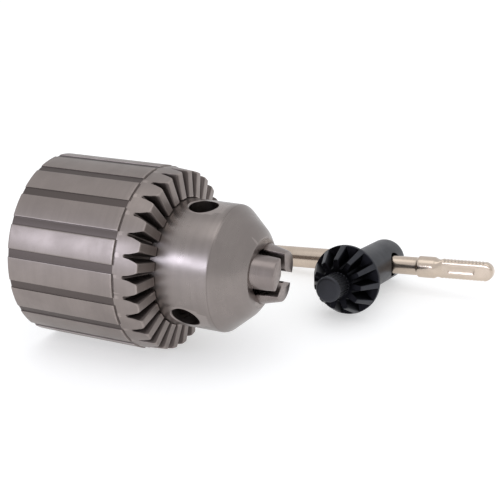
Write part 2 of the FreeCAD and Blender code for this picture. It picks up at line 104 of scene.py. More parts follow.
class ChuckBodySettings(bpy.types.PropertyGroup):
    """Sizes of the turned body."""
    radius: length("Front radius", "Cylinder in front of the sleeve", 21.6 * MM)
    cone_start: length("Cone start", "Front edge of that cylinder", 69.2 * MM)
    rim_radius: length("Rim radius", "Front edge of the nose cone", 15.0 * MM)
    rim_place: length("Rim place", "Place of that edge along the axis", 76.9 * MM)
    nose_radius: length("Nose radius", "Outer edge of the front face", 12.0 * MM)
    key_hole_radius: length("Key hole radius", "Hole for the key's pilot", 4.85 * MM)
    key_hole_place: length("Key hole place", "Place of the key holes along the axis", 58.9 * MM)


class ChuckJawSettings(bpy.types.PropertyGroup):
    """Sizes of the three jaws."""
    radius: length("Radius", "Round part of a jaw", 5.75 * MM)
    lean: turn("Lean", "Angle between a jaw and the chuck's axis", 16.0)
    first_turn: turn("First jaw", "Place of the first jaw around the axis, from +Y", 37.5)
    tip_offset: length("Tip offset", "Jaw's centre from the axis at its tip", 2.9 * MM)
    grip: length("Grip", "Gripping edges from the axis", 2.3 * MM)
    grip_flat: length("Grip flat", "Width of a gripping edge", 1.2 * MM)
    open_lift: length("Open lift", "How far a jaw moves outwards to open fully", 5.7 * MM)
    rear_limit: length("Rear limit", "Room for the jaws' rear ends in the sleeve", 28.2 * MM)


class ChuckKeySettings(bpy.types.PropertyGroup):
    """Sizes and place of the loose key."""
    teeth: IntProperty(name="Teeth", description="Teeth of the key's gear", default=11, min=6)
    rim_radius: length("Rim radius", "Gear over its rim", 13.16 * MM)
    pilot_radius: length("Pilot radius", "Pin that enters the body", 4.76 * MM)
    shank_radius: length("Shank radius", "Round shank", 8.1 * MM)
    shank_length: length("Shank length", "From the rim to the end", 44.6 * MM)
    bar_place: length("Bar place", "Handle bar from the rim", 33.4 * MM)
    bar_radius: length("Bar radius", "Plain arm of the handle bar", 4.3 * MM)
    place: FloatVectorProperty(name="Place", description="Centre of the rim on the floor plan",
                               default=(89.75 * MM, 52.85 * MM), size=2, unit="LENGTH",
                               subtype="XYZ", precision=5)
    heading: turn("Heading", "Direction of the shank from +X", 87.4)
    bar_turn: turn("Bar turn", "Turn of the bar about the shank", 4.6)


class ChuckFinishSettings(bpy.types.PropertyGroup):
    """Colours of the finishes, and the painted shade tint of their recesses."""
    steel: colour("Ground steel", "Ground steel of the body", (0.275, 0.242, 0.228))
    lands: colour("Sleeve steel", "Ground lands of the sleeve", (0.275, 0.238, 0.222))
    # Painted shade: the tint that groove floors, tooth roots, holes and concave corners are
    # darkened towards.
    recess_shade: colour("Recess shade", "Groove floors and tooth roots", (0.105, 0.088, 0.083))
    jaws: colour("Jaw steel", "Hardened jaws", (0.27, 0.232, 0.22))
    oxide: colour("Black oxide", "Blackened gear of the key", (0.050, 0.051, 0.058))
    nickel: colour("Nickel plate", "Bright plating of the handle", (0.62, 0.52, 0.43))
    floor: colour("Floor", "Plain pale floor", (0.62, 0.62, 0.62))


class ChuckSettings(bpy.types.PropertyGroup):
    """All the settings of the chuck."""
    sleeve: PointerProperty(type=ChuckSleeveSettings)
    body: PointerProperty(type=ChuckBodySettings)
    jaws: PointerProperty(type=ChuckJawSettings)
    key: PointerProperty(type=ChuckKeySettings)
    finish: PointerProperty(type=ChuckFinishSettings)


def settings():
    """The scene's chuck settings."""
    return bpy.context.scene.chuck


# ---- surfaces

def frame_of(x_axis, y_axis, z_axis, origin):
    """Placement matrix with these axes and origin."""
    turned = Matrix((x_axis, y_axis, z_axis)).transposed().to_4x4()
    return Matrix.Translation(origin) @ turned


def rounded(corners, steps=4):
    """Polyline through (place, radius, rounding) corners.

    Each corner with a rounding is replaced by points on a parabola that touches both
    edges at that distance from the corner: a blend of the two edge points and the corner
    with weights (1-t)^2, t^2 and 2t(1-t)."""
    points = []
    for index, (place, radius, rounding) in enumerate(corners):
        here = np.array([place, radius])
        if rounding == 0:
            points.append(here)
            continue
        before = np.array(corners[index - 1][:2])
        after = np.array(corners[(index + 1) % len(corners)][:2])
        start = here + (before - here) / np.linalg.norm(before - here) * rounding
        end = here + (after - here) / np.linalg.norm(after - here) * rounding
        for blend in np.linspace(0, 1, steps + 1):
            points.append(start * (1 - blend) ** 2 + end * blend ** 2
                          + here * 2 * blend * (1 - blend))
    return np.array(points)


def ring_points(places, radii, angles):
    """Points on circles about X: (place, radius cos angle, radius sin angle)."""
    places, radii, angles = np.broadcast_arrays(places, radii, angles)
    return np.stack([places, radii * np.cos(angles), radii * np.sin(angles)], axis=-1)


def lathe(profile, columns):
    """Surface of revolution: every profile point carried round a full circle about X."""
    angles = np.arange(columns) * (2 * math.pi / columns)
    return ring_points(profile[:, :1], profile[:, 1:], angles[None, :])


def grid_faces(rows, columns, wrap_rows):
    """Quads between neighbouring rows; columns close on themselves, rows do if asked."""
    row = np.arange(rows if wrap_rows else rows - 1)[:, None]
    column = np.arange(columns)[None, :]
    next_row = (row + 1) % rows
    next_column = (column + 1) % columns
    quads = np.stack([row * columns + column, row * columns + next_column,
                      next_row * columns + next_column, next_row * columns + column], axis=-1)
    return quads.reshape(-1, 4)


def piece(name, points, closed=False, place=None):
    """Mesh object from points[row, column]. A closed grid is a ring; an open one is
    capped at both ends by a fan round the mean of its last row. Place is the frame of
    the points."""
    rows, columns = points.shape[:2]
    vertices = points.reshape(-1, 3)
    faces = grid_faces(rows, columns, closed).tolist()
    if not closed:
        ends = np.stack([points[0].mean(axis=0), points[-1].mean(axis=0)])
        vertices = np.concatenate([vertices, ends])
        column = np.arange(columns)
        following = (column + 1) % columns
        first = np.stack([np.full(columns, rows * columns), following, column], axis=-1)
        last_row = (rows - 1) * columns
        last = np.stack([np.full(columns, rows * columns + 1), last_row + column,
                         last_row + following], axis=-1)
        faces += first.tolist() + last.tolist()
    mesh = bpy.data.meshes.new(name)
    mesh.from_pydata(vertices.tolist(), [], faces)
    if place is not None:
        mesh.transform(place)
    mesh.update()
    item = bpy.data.objects.new(name, mesh)
    bpy.context.scene.collection.objects.link(item)
    return item


def read(items, name, width=1, kind=np.float64):
    """One value or row of values from every vertex, corner or face of a mesh."""
    values = np.zeros(len(items) * width, dtype=kind)
    items.foreach_get(name, values)
    return values.reshape(-1, width) if width > 1 else values


def volume(mesh):
    """Signed volume: a sixth of the sum of each triangle's corner triple products."""
    mesh.calc_loop_triangles()
    corners = read(mesh.loop_triangles, "vertices", 3, np.int64)
    points = read(mesh.vertices, "co", 3)[corners]
    return float(np.einsum("ij,ij->i", points[:, 0],
                           np.cross(points[:, 1], points[:, 2])).sum() / 6)


def face_outwards(item):
    """Turn the faces round if the mesh is inside out."""
    if volume(item.data) < 0:
        item.data.flip_normals()


def carve(item, cutters):
    """Cut closed meshes out of a piece and keep the result as its mesh."""
    for cutter in cutters:
        face_outwards(cutter)
        modifier = item.modifiers.new("carve", "BOOLEAN")
        modifier.object = cutter
        modifier.operation = "DIFFERENCE"
        modifier.solver = "EXACT"
    apply_modifiers(item)
    for cutter in cutters:
        bpy.data.objects.remove(cutter)


def apply_modifiers(item):
    """Replace a piece's mesh with what its modifiers make of it."""
    bpy.context.view_layer.update()
    shaped = item.evaluated_get(bpy.context.evaluated_depsgraph_get())
    mesh = bpy.data.meshes.new_from_object(shaped)
    item.modifiers.clear()
    item.data = mesh


def even_normals(item, profile):
    """Shade the turned surfaces as if they were exact.

    Each face corner that lies on the closed profile gets the profile's own normal there,
    (-dr, dx) turned round the axis, if its face points nearly the same way."""
    mesh = item.data
    points = read(mesh.vertices, "co", 3)
    radius = np.hypot(points[:, 1], points[:, 2])
    flat = np.stack([points[:, 0], radius], axis=-1)
    edges = np.roll(profile, -1, axis=0) - profile
    lengths = np.linalg.norm(edges, axis=1)
    outward = np.stack([-edges[:, 1], edges[:, 0]], axis=-1) / lengths[:, None]
    corners = outward + np.roll(outward, 1, axis=0)
    corners /= np.linalg.norm(corners, axis=1)[:, None]
    nearest = np.ones(len(flat))
    normals = np.zeros((len(flat), 2))
    for index, (start, edge) in enumerate(zip(profile, edges)):
        share = np.clip((flat - start) @ edge / (edge @ edge), 0, 1)[:, None]
        distance = np.linalg.norm(flat - start - share * edge, axis=1)
        blend = corners[index] * (1 - share) + corners[(index + 1) % len(corners)] * share
        closer = distance < nearest
        nearest = np.where(closer, distance, nearest)
        normals = np.where(closer[:, None], blend, normals)
    around = points[:, 1:] / np.maximum(radius, 1e-9)[:, None]
    full = np.concatenate([normals[:, :1], normals[:, 1:] * around], axis=1)
    full /= np.maximum(np.linalg.norm(full, axis=1), 1e-9)[:, None]
    vertex = read(mesh.loops, "vertex_index", kind=np.int64)
    totals = read(mesh.polygons, "loop_total", kind=np.int64)
    facing = np.repeat(read(mesh.polygons, "normal", 3), totals, axis=0)
    widest_turn, farthest = math.radians(18), 0.003 * MM
    agreed = np.einsum("ij,ij->i", facing, full[vertex]) > math.cos(widest_turn)
    agreed &= nearest[vertex] < farthest
    mesh.normals_split_custom_set(np.where(agreed[:, None], full[vertex], 0.0).tolist())


def break_edges(item, width, angle=35.0):
    """Small bevel on every edge sharper than an angle."""
    modifier = item.modifiers.new("broken_edges", "BEVEL")
    modifier.width = width
    modifier.segments = 2
    modifier.limit_method = "ANGLE"
    modifier.angle_limit = math.radians(angle)
    modifier.use_clamp_overlap = True
    modifier.miter_outer = "MITER_ARC"
    apply_modifiers(item)


def note_places(item, depth_rule, place=None):
    """Keep two attributes for the finishes: each point's place in the piece's own frame,
    and its depth below the piece's outer shape, a rule of place along and radius about X; the
    finishes darken points by that depth as painted shade."""
    mesh = item.data
    points = read(mesh.vertices, "co", 3)
    if place is not None:
        back = np.array(place.inverted())
        points = points @ back[:3, :3].T + back[:3, 3]
    own = mesh.attributes.new("place", "FLOAT_VECTOR", "POINT")
    own.data.foreach_set("vector", points.astype(np.float32).ravel())
    depth = depth_rule(points[:, 0], np.hypot(points[:, 1], points[:, 2]))
    kept = mesh.attributes.new("depth", "FLOAT", "POINT")
    kept.data.foreach_set("value", np.clip(depth, 0, None).astype(np.float32))


def no_hollows(along, radius):
    """Depth rule of a piece whose whole surface looks alike."""
    return np.zeros(len(along))


def below_outline(corners):
    """Depth rule for a convex profile: the least distance inside its edges' lines."""
    corners = np.array(corners) * MM

    def rule(along, radius):
        depth = np.ones(len(along))
        for here, there in zip(corners[:-1], corners[1:]):
            edge = (there - here) / np.linalg.norm(there - here)
            inside = (along - here[0]) * edge[1] - (radius - here[1]) * edge[0]
            depth = np.minimum(depth, inside)
        return depth

    return rule


def finish_piece(item, body, material, nodes, sharp=32.0):
    """Shade, colour and hand a piece over to the CAD body that carries it."""
    face_outwards(item)
    item.data.shade_smooth()
    item.data.set_sharp_from_angle(angle=math.radians(sharp))
    item.data.materials.clear()
    item.data.materials.append(material)
    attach(item, body)
    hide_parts(*nodes)


# ---- shader groups

def new_group(name, inputs, outputs):
    """Empty shader group with named sockets; inputs are (kind, name, default)."""
    group = bpy.data.node_groups.new(name, "ShaderNodeTree")
    for kind, label, default in inputs:
        socket = group.interface.new_socket(label, in_out="INPUT",
                                            socket_type="NodeSocket" + kind)
        if default is not None:
            socket.default_value = default
    for kind, label in outputs:
        group.interface.new_socket(label, in_out="OUTPUT", socket_type="NodeSocket" + kind)
    return group, group.nodes.new("NodeGroupInput"), group.nodes.new("NodeGroupOutput")


def add(tree, kind, links=None, **values):
    """Node with its properties set, and its inputs linked or filled by name or index."""
    made = tree.nodes.new("ShaderNode" + kind)
    for name, value in values.items():
        setattr(made, name, value)
    for key, source in (links or {}).items():
        socket = made.inputs[key]
        if isinstance(source, bpy.types.NodeSocket):
            tree.links.new(source, socket)
        else:
            socket.default_value = source
    return made


def maths(tree, operation, *terms):
    """Result of a Math node on sockets or numbers."""
    return add(tree, "Math", dict(enumerate(terms)), operation=operation).outputs[0]


def spread(tree, value, low, high):
    """Value mapped from a range onto 0 to 1, with soft ends."""
    made = add(tree, "MapRange", {"Value": value, "From Min": low, "From Max": high},
               interpolation_type="SMOOTHSTEP")
    return made.outputs["Result"]


def mixed(tree, factor, first, second):
    """Blend of two colours."""
    first, second = (tint if isinstance(tint, bpy.types.NodeSocket) else (*tint, 1.0)
                     for tint in (first, second))
    return add(tree, "Mix", {0: factor, 6: first, 7: second}, data_type="RGBA").outputs[2]


def turning_group():
    """Tool marks of a lathe or grinder: thin rings about the X axis of Place."""
    group, given, result = new_group("turning_marks", [
        ("Vector", "Place", None), ("Float", "Spacing", 0.0002), ("Float", "Wander", 0.8),
    ], [("Float", "Height"), ("Float", "Shade")])
    place, y, z = add(group, "SeparateXYZ", {0: given.outputs["Place"]}).outputs
    square = maths(group, "ADD", maths(group, "MULTIPLY", y, y),
                   maths(group, "MULTIPLY", z, z))
    radius = maths(group, "MAXIMUM", maths(group, "SQRT", square), 0.00001)
    step = maths(group, "DIVIDE", maths(group, "ADD", place, radius),
                 given.outputs["Spacing"])
    across, upward = (maths(group, "MULTIPLY", maths(group, "DIVIDE", side, radius),
                            given.outputs["Wander"]) for side in (y, z))
    seen = add(group, "CombineXYZ", {0: step, 1: across, 2: upward})
    fine = add(group, "TexNoise", {"Vector": seen.outputs[0], "Scale": 1.0, "Detail": 3.0,
                                   "Roughness": 0.7})
    broad_place = add(group, "VectorMath", {0: seen.outputs[0], 1: (0.11, 0.6, 0.6)},
                      operation="MULTIPLY")
    broad = add(group, "TexNoise", {"Vector": broad_place.outputs[0], "Scale": 1.0,
                                    "Detail": 2.0})
    group.links.new(fine.outputs[0], result.inputs["Height"])
    shade = maths(group, "ADD", maths(group, "MULTIPLY", fine.outputs[0], 0.5),
                  maths(group, "MULTIPLY", broad.outputs[0], 0.5))
    group.links.new(shade, result.inputs["Shade"])
    return group


def edge_highlight_and_shade_group():
    """Convex edges lightened, partly as worn metal and partly as painted highlight, broken up
    by noise; concave corners darkened as painted shade.

    Pointiness is 0.5 on a flat surface; the two limits leave a band on each side of it."""
    group, given, result = new_group("edge_wear_highlight_and_shade", [
        ("Vector", "Place", None), ("Float", "Pointiness", 0.5), ("Float", "Reach", 0.03),
    ], [("Float", "Edge"), ("Float", "Hollow")])
    noise = add(group, "TexNoise", {"Vector": given.outputs["Place"], "Scale": 900.0,
                                    "Detail": 4.0})
    flat, band, break_up = 0.5, 0.02, 0.05
    offset = maths(group, "MULTIPLY", maths(group, "SUBTRACT", noise.outputs[0], flat),
                   break_up)
    sharpness = maths(group, "ADD", given.outputs["Pointiness"], offset)
    reach = given.outputs["Reach"]
    # Convex edges, to be lightened as worn metal and as painted highlight.
    edge = spread(group, sharpness, flat + band, maths(group, "ADD", reach, flat + band))
    # Concave corners, to be darkened as painted shade.
    hollow = spread(group, sharpness, flat - band,
                    maths(group, "SUBTRACT", flat - band, reach))
    group.links.new(edge, result.inputs["Edge"])
    group.links.new(hollow, result.inputs["Hollow"])
    return group


def cloud_group():
    """Slow stain and oil film: soft noise."""
    group, given, result = new_group("oil_film", [
        ("Vector", "Place", None), ("Float", "Size", 0.01),
    ], [("Float", "Film")])
    scaled = add(group, "VectorMath", {0: given.outputs["Place"]}, operation="SCALE")
    group.links.new(maths(group, "DIVIDE", 1.0, given.outputs["Size"]), scaled.inputs["Scale"])
    film = add(group, "TexNoise", {"Vector": scaled.outputs[0], "Scale": 1.0, "Detail": 4.0,
                                   "Distortion": 0.4})
    group.links.new(spread(group, film.outputs[0], 0.3, 0.7), result.inputs["Film"])
    return group


def shared_group(name):
    """The shader group of that name, made on first use."""
    makers = {"turning_marks": turning_group, "edge_wear_highlight_and_shade": edge_highlight_and_shade_group, "oil_film": cloud_group}
    return bpy.data.node_groups.get(name) or makers[name]()


def use_group(tree, name, links):
    """Outputs of a shared group placed in a material."""
    return add(tree, "Group", links, node_tree=shared_group(name)).outputs


def own_place(tree, from_cad):
    """Local coordinates: the kept attribute on new pieces, Object coordinates on CAD ones."""
    if from_cad:
        return add(tree, "TexCoord").outputs["Object"]
    return add(tree, "Attribute", attribute_name="place").outputs["Vector"]


def shaded(base, share):
    """A colour made lighter or darker by a share, at most white."""
    return [min(1.0, value * share) for value in base]


def metal(name, base, shade_tint, spacing, rough, bump, film=0.35, edge_wear_and_highlight=0.5, from_cad=False):
    """Machined metal: ring-shaped tool marks, oil film, painted shade in recesses and concave
    corners, and edges lightened, partly as worn metal and partly as painted highlight.
    """
    mark_dark, mark_light, stain_share, edge_share, deep_shade_share = 0.80, 1.14, 0.72, 1.5, 0.35
    recess_shade_start, recess_shade_full = 0.06 * MM, 0.28 * MM
    deep_shade_start, deep_shade_full = 1.2 * MM, 5.0 * MM
    mark_rough, film_rough, rough_start = 0.16, 0.08, 0.12
    mark_height, corner_shade = 0.00002, 0.6
    material = bpy.data.materials.new(name)
    material.use_nodes = True
    tree = material.node_tree
    shader = tree.nodes["Principled BSDF"]
    place = own_place(tree, from_cad)
    marks = use_group(tree, "turning_marks", {"Place": place, "Spacing": spacing})
    stain = use_group(tree, "oil_film", {"Place": place})
    geometry = add(tree, "NewGeometry")
    edges = use_group(tree, "edge_wear_highlight_and_shade", {"Place": place,
                                          "Pointiness": geometry.outputs["Pointiness"]})
    tint = mixed(tree, marks["Shade"], shaded(base, mark_dark), shaded(base, mark_light))
    tint = mixed(tree, maths(tree, "MULTIPLY", stain["Film"], film), tint,
                 shaded(base, stain_share))
    # Painted shade: points below the outer shape are darkened towards the shade tint, more so
    # deep inside holes.
    depth = add(tree, "Attribute", attribute_name="depth").outputs["Fac"]
    tint = mixed(tree, spread(tree, depth, recess_shade_start, recess_shade_full), tint, shade_tint)
    tint = mixed(tree, spread(tree, depth, deep_shade_start, deep_shade_full), tint,
                 shaded(shade_tint, deep_shade_share))
    # Painted shade in concave corners.
    tint = mixed(tree, maths(tree, "MULTIPLY", edges["Hollow"], corner_shade), tint, shade_tint)
    # Convex edges lightened, partly as worn metal and partly as painted highlight.
    tint = mixed(tree, maths(tree, "MULTIPLY", edges["Edge"], edge_wear_and_highlight), tint,
                 shaded(base, edge_share))
    tree.links.new(tint, shader.inputs["Base Color"])
    grain = maths(tree, "MULTIPLY", marks["Shade"], mark_rough)
    haze = maths(tree, "MULTIPLY", stain["Film"], film_rough)
    level = maths(tree, "ADD", maths(tree, "ADD", grain, haze), rough - rough_start)
    tree.links.new(level, shader.inputs["Roughness"])
    relief = add(tree, "Bump", {"Height": marks["Height"], "Strength": bump,
                                "Distance": mark_height})
    tree.links.new(relief.outputs[0], shader.inputs["Normal"])
    shader.inputs["Metallic"].default_value = 1.0
    return material


# ---- sleeve

def pattern_columns(columns, count, knot_cells, knot_values, first=0):
    """Values over a pattern repeated round a circle, its first centre at a given column.

    Each column's distance from the nearest centre is looked up between knots. Returns the
    values [column, row of values], the side (+1 or -1), and that centre's turn from the
    first one."""
    cells = columns // count
    index = np.arange(columns) - first
    offset = (index + cells // 2) % cells - cells // 2
    values = np.stack([np.interp(np.abs(offset), knot_cells, row) for row in knot_values],
                      axis=-1)
    return values, np.sign(offset), (index - offset) * (2 * math.pi / columns)


def sleeve_points():
    """Rows of the sleeve from its rear face over the lands and teeth and back inside.

    On the lands the radius is the outside less the groove's depth times a share that
    depends on the distance from the nearest groove. On the front the place of a point
    at radius r is a blend of two lines, root and crest, by a share that depends on the
    distance from the nearest tooth space. Columns slide so that they follow the edges."""
    size = settings().sleeve
    columns = 1008
    end = size.land_length
    half_groove = size.groove_width / 2 / size.radius
    edge = 0.10 * MM / size.radius
    knots = [0, 6, 7, 8, 10, 28]
    arcs = [0, half_groove - 3 * edge, half_groove - edge, half_groove,
            half_groove + 2 * edge, math.pi / size.grooves]
    shares = [1.0, 1.0, 0.92, 0.10, 0.0, 0.0]
    table, side, centre = pattern_columns(columns, size.grooves, knots, [arcs, shares])
    land_turn = size.groove_turn + centre + side * table[:, 0]
    cut = size.groove_depth * table[:, 1]

    pitch = 2 * math.pi / size.teeth
    outer, inner = CREST_OUTER[1] * MM, size.bore
    apex = settings().body.key_hole_place
    crest_outer, crest_inner = CREST_OUTER[0] * MM, CREST_INNER[0] * MM
    root_slope = (apex - crest_outer + size.tooth_depth) / outer
    crest_slope = (crest_inner - crest_outer) / (outer - inner)
    root_half, crest_half = 0.09 * pitch, 0.335 * pitch
    tooth_knots = [0, 2, 3, 5, 7, 9, 11, 13, 15, 18]
    levels = [0.0, 0.04, 0.15, 0.41, 0.64, 0.83, 0.945, 0.99, 1.0, 1.0]

    def tooth_arcs(crest_at):
        """Angles of the tooth knots for a crest that starts at an angle."""
        up = root_half + (crest_at - root_half) * np.array([0.12, 0.36, 0.56, 0.76, 0.94])
        return np.concatenate([[0, root_half * 0.75, root_half], up,
                               [crest_at * 0.8 + pitch * 0.1, pitch / 2]])

    first_space = size.tooth_turn + pitch / 2
    shift = int(round((first_space - size.groove_turn) * columns / (2 * math.pi)))
    flank_slope = (crest_half - root_half) / (root_slope - (apex - crest_outer) / outer)
    inner_crest = root_half + flank_slope * (root_slope - (apex - crest_inner) / inner)
    both, side, centre = pattern_columns(
        columns, size.teeth, tooth_knots,
        [tooth_arcs(crest_half), tooth_arcs(inner_crest), levels], first=shift)
    outer_turn = first_space + centre + side * both[:, 0]
    inner_turn = first_space + centre + side * both[:, 1]
    level = both[:, 2]
    start = apex * (1 - level) + (crest_outer + crest_slope * outer) * level
    slope = root_slope * (1 - level) + crest_slope * level
    shoulder = SHOULDER[1] * MM
    shoulder_fall = (SHOULDER[1] - CREST_OUTER[1]) / (CREST_OUTER[0] - SHOULDER[0])
    reach = (shoulder + shoulder_fall * (end - start)) / (1 - shoulder_fall * slope)
    brow = start - slope * reach

    chamfer, rear_wall = 0.5 * MM, 2.55 * MM
    land = size.radius - cut
    on_land = 1 - cut / size.groove_depth
    neck = shoulder - 0.04 * MM - 0.16 * MM * on_land
    stations = [(0.0, SLEEVE_HIGH.y - rear_wall), (0.0, land - chamfer),
                (chamfer * 0.3, land - chamfer * 0.4), (chamfer, land), (chamfer * 1.4, land)]
    stations += [(end * share, land) for share in np.linspace(0.1, 0.9, 9)]
    stations += [(end - 1.2 * MM, land), (end - 0.15 * MM, land),
                 (end, size.radius - np.maximum(cut, 0.12 * MM)),
                 (end + 0.12 * MM, neck + 0.05 * MM * on_land), (end + 0.2 * MM, neck),
                 (end + 0.5 * MM, neck), (end + 0.65 * MM, shoulder - 0.06 * MM)]
    rows = [ring_points(place, radius, land_turn) for place, radius in stations]
    for share in (0.15, 0.5, 0.9):
        place = end + share * (brow - end)
        rows.append(ring_points(place, shoulder - shoulder_fall * (place - end),
                                land_turn * (1 - share) + outer_turn * share))
    rows.append(ring_points(brow - 0.15 * MM, reach + 0.01 * MM, outer_turn))
    for share in np.linspace(0, 1, 13):
        radius = (reach - 0.15 * MM) * (1 - share) + (inner + 0.12 * MM) * share
        along = (reach - radius) / (reach - inner)
        rows.append(ring_points(start - slope * radius, radius,
                                outer_turn * (1 - along) + inner_turn * along))
    rows.append(ring_points(start - slope * inner - 0.12 * MM, inner, inner_turn))
    plain = np.linspace(land_turn[0], land_turn[0] + 2 * math.pi, columns, endpoint=False)
    nut_seat_and_bore = ((44.4, 21.85), (44.4, 27.0), (34.4, 27.0), (34.4, 28.7),
                         (20.0, 28.7), (0.5, 28.7))
    rows += [ring_points(place * MM, radius * MM, plain)
             for place, radius in nut_seat_and_bore]
    return np.stack(rows)


class CHUCK_OT_sleeve(bpy.types.Operator):
    """Build the sleeve with its grooves and bevel teeth"""
    bl_idname = "chuck.sleeve"
    bl_label = "Sleeve"

    def execute(self, context):
        finish = settings().finish
        sleeve = piece("sleeve_turned", sleeve_points(), closed=True)
        steel = metal("sleeve_steel", finish.lands, finish.recess_shade, spacing=0.00016,
                      rough=0.41, bump=0.35)
        lands = below_outline(LAND_OUTLINE)
        teeth = below_outline((SHOULDER, CREST_OUTER, CREST_INNER))
        note_places(sleeve, lambda along, radius: np.where(
            along < settings().sleeve.land_length + 0.1 * MM, lands(along, radius),
            teeth(along, radius)))
        finish_piece(sleeve, "sleeve", steel, ["sleeve"])
        return {"FINISHED"}


# ---- body

def key_hole_cutter(number, angle):
    """Round cutter along a key hole with its countersunk mouth."""
    size = settings().body
    hole, floor, rim, above = size.key_hole_radius, 11.0 * MM, 0.45 * MM, 2.5 * MM
    profile = np.array([(floor, hole), (size.radius - rim, hole),
                        (size.radius + above, hole + rim + above)])
    place = (Matrix.Translation((size.key_hole_place, 0, 0))
             @ Matrix.Rotation(angle, 4, "X") @ Matrix.Rotation(math.pi / 2, 4, "Z"))
    return piece("key_hole_%d" % number, lathe(profile, 96), place=place)


def jaw_matrix(angle):
    """Frame on a jaw's centre line at its tip: X forward, Y away from the chuck's axis."""
    size = settings().jaws
    lean = size.lean
    out = Vector((0, math.cos(angle), math.sin(angle)))
    forward = Vector((1, 0, 0)) * math.cos(lean) - out * math.sin(lean)
    away = Vector((1, 0, 0)) * math.sin(lean) + out * math.cos(lean)
    side = forward.cross(away)
    return frame_of(forward, away, side, Vector((JAW_FRONT, 0, 0)) + out * size.tip_offset)


def jaw_bore_cutter(number, angle):
    """Round cutter along a jaw bore, from behind the jaw to in front of it."""
    fit, bore_end, ahead = 0.06 * MM, 9.0 * MM, 4.0 * MM
    radius = settings().jaws.radius + fit
    rear = -(JAW_FRONT - bore_end) / math.cos(settings().jaws.lean)
    profile = np.array([(rear, radius), (ahead, radius)])
    return piece("jaw_bore_%d" % number, lathe(profile, 128), place=jaw_matrix(angle))


def subdivide(profile, step):
    """Closed profile with extra points so that no edge is longer than a step."""
    points = []
    for here, there in zip(profile, np.roll(profile, -1, axis=0)):
        parts = max(1, int(np.ceil(np.linalg.norm(there - here) / step)))
        points.append(here + (there - here) * (np.arange(parts) / parts)[:, None])
    return np.concatenate(points)


class CHUCK_OT_body(bpy.types.Operator):
    """Build the turned body with its socket, jaw bores and key holes"""
    bl_idname = "chuck.body"
    bl_label = "Body"

    def execute(self, context):
        size = settings().body
        front, cone = size.radius / MM, size.cone_start / MM
        rim_place, rim, nose = size.rim_place / MM, size.rim_radius / MM, size.nose_radius / MM
        face, socket_mouth, socket_end, push_hole, bore = 79.0, 10.3, 9.475, 3.5, 8.2
        corners = [
            (0, socket_mouth, 0.3), (0, 28.4, 0.5), (29.2, 28.4, 0.2), (29.2, 24.6, 0.2),
            (34.1, 24.6, 0.2), (34.1, 22.3, 0.2), (44.7, 19.4, 0.2), (44.7, front, 0.2),
            (cone, front, 0.9), (rim_place, rim, 1.0), (face, nose, 0.5), (face, bore, 0.3),
            (44.0, bore, 0.2), (42.0, push_hole, 0.2), (32.96, push_hole, 0.2),
            (32.96, socket_end, 0.3), (30.96, socket_end, 0.2),
        ]
        profile = rounded(np.array(corners) * MM)
        body = piece("body_turned", lathe(subdivide(profile, 3 * MM), 288), closed=True)
        face_outwards(body)
        turns = [settings().jaws.first_turn + number * THIRD for number in range(3)]
        cutters = [jaw_bore_cutter(number + 1, angle) for number, angle in enumerate(turns)]
        cutters += [key_hole_cutter(number + 1, angle + math.pi / 3)
                    for number, angle in enumerate(turns)]
        carve(body, cutters)
        break_edges(body, 0.18 * MM)
        note_places(body, below_outline([(0, 0), (0, front), (cone, front), (rim_place, rim),
                                         (face, nose), (face, 0)]))
        finish = settings().finish
        steel = metal("ground_steel", finish.steel, finish.recess_shade, spacing=0.00020,
                      rough=0.31, bump=0.30)
        finish_piece(body, "chuck", steel, ["chuck_body"])
        even_normals(body, profile)
        return {"FINISHED"}


# ---- jaws

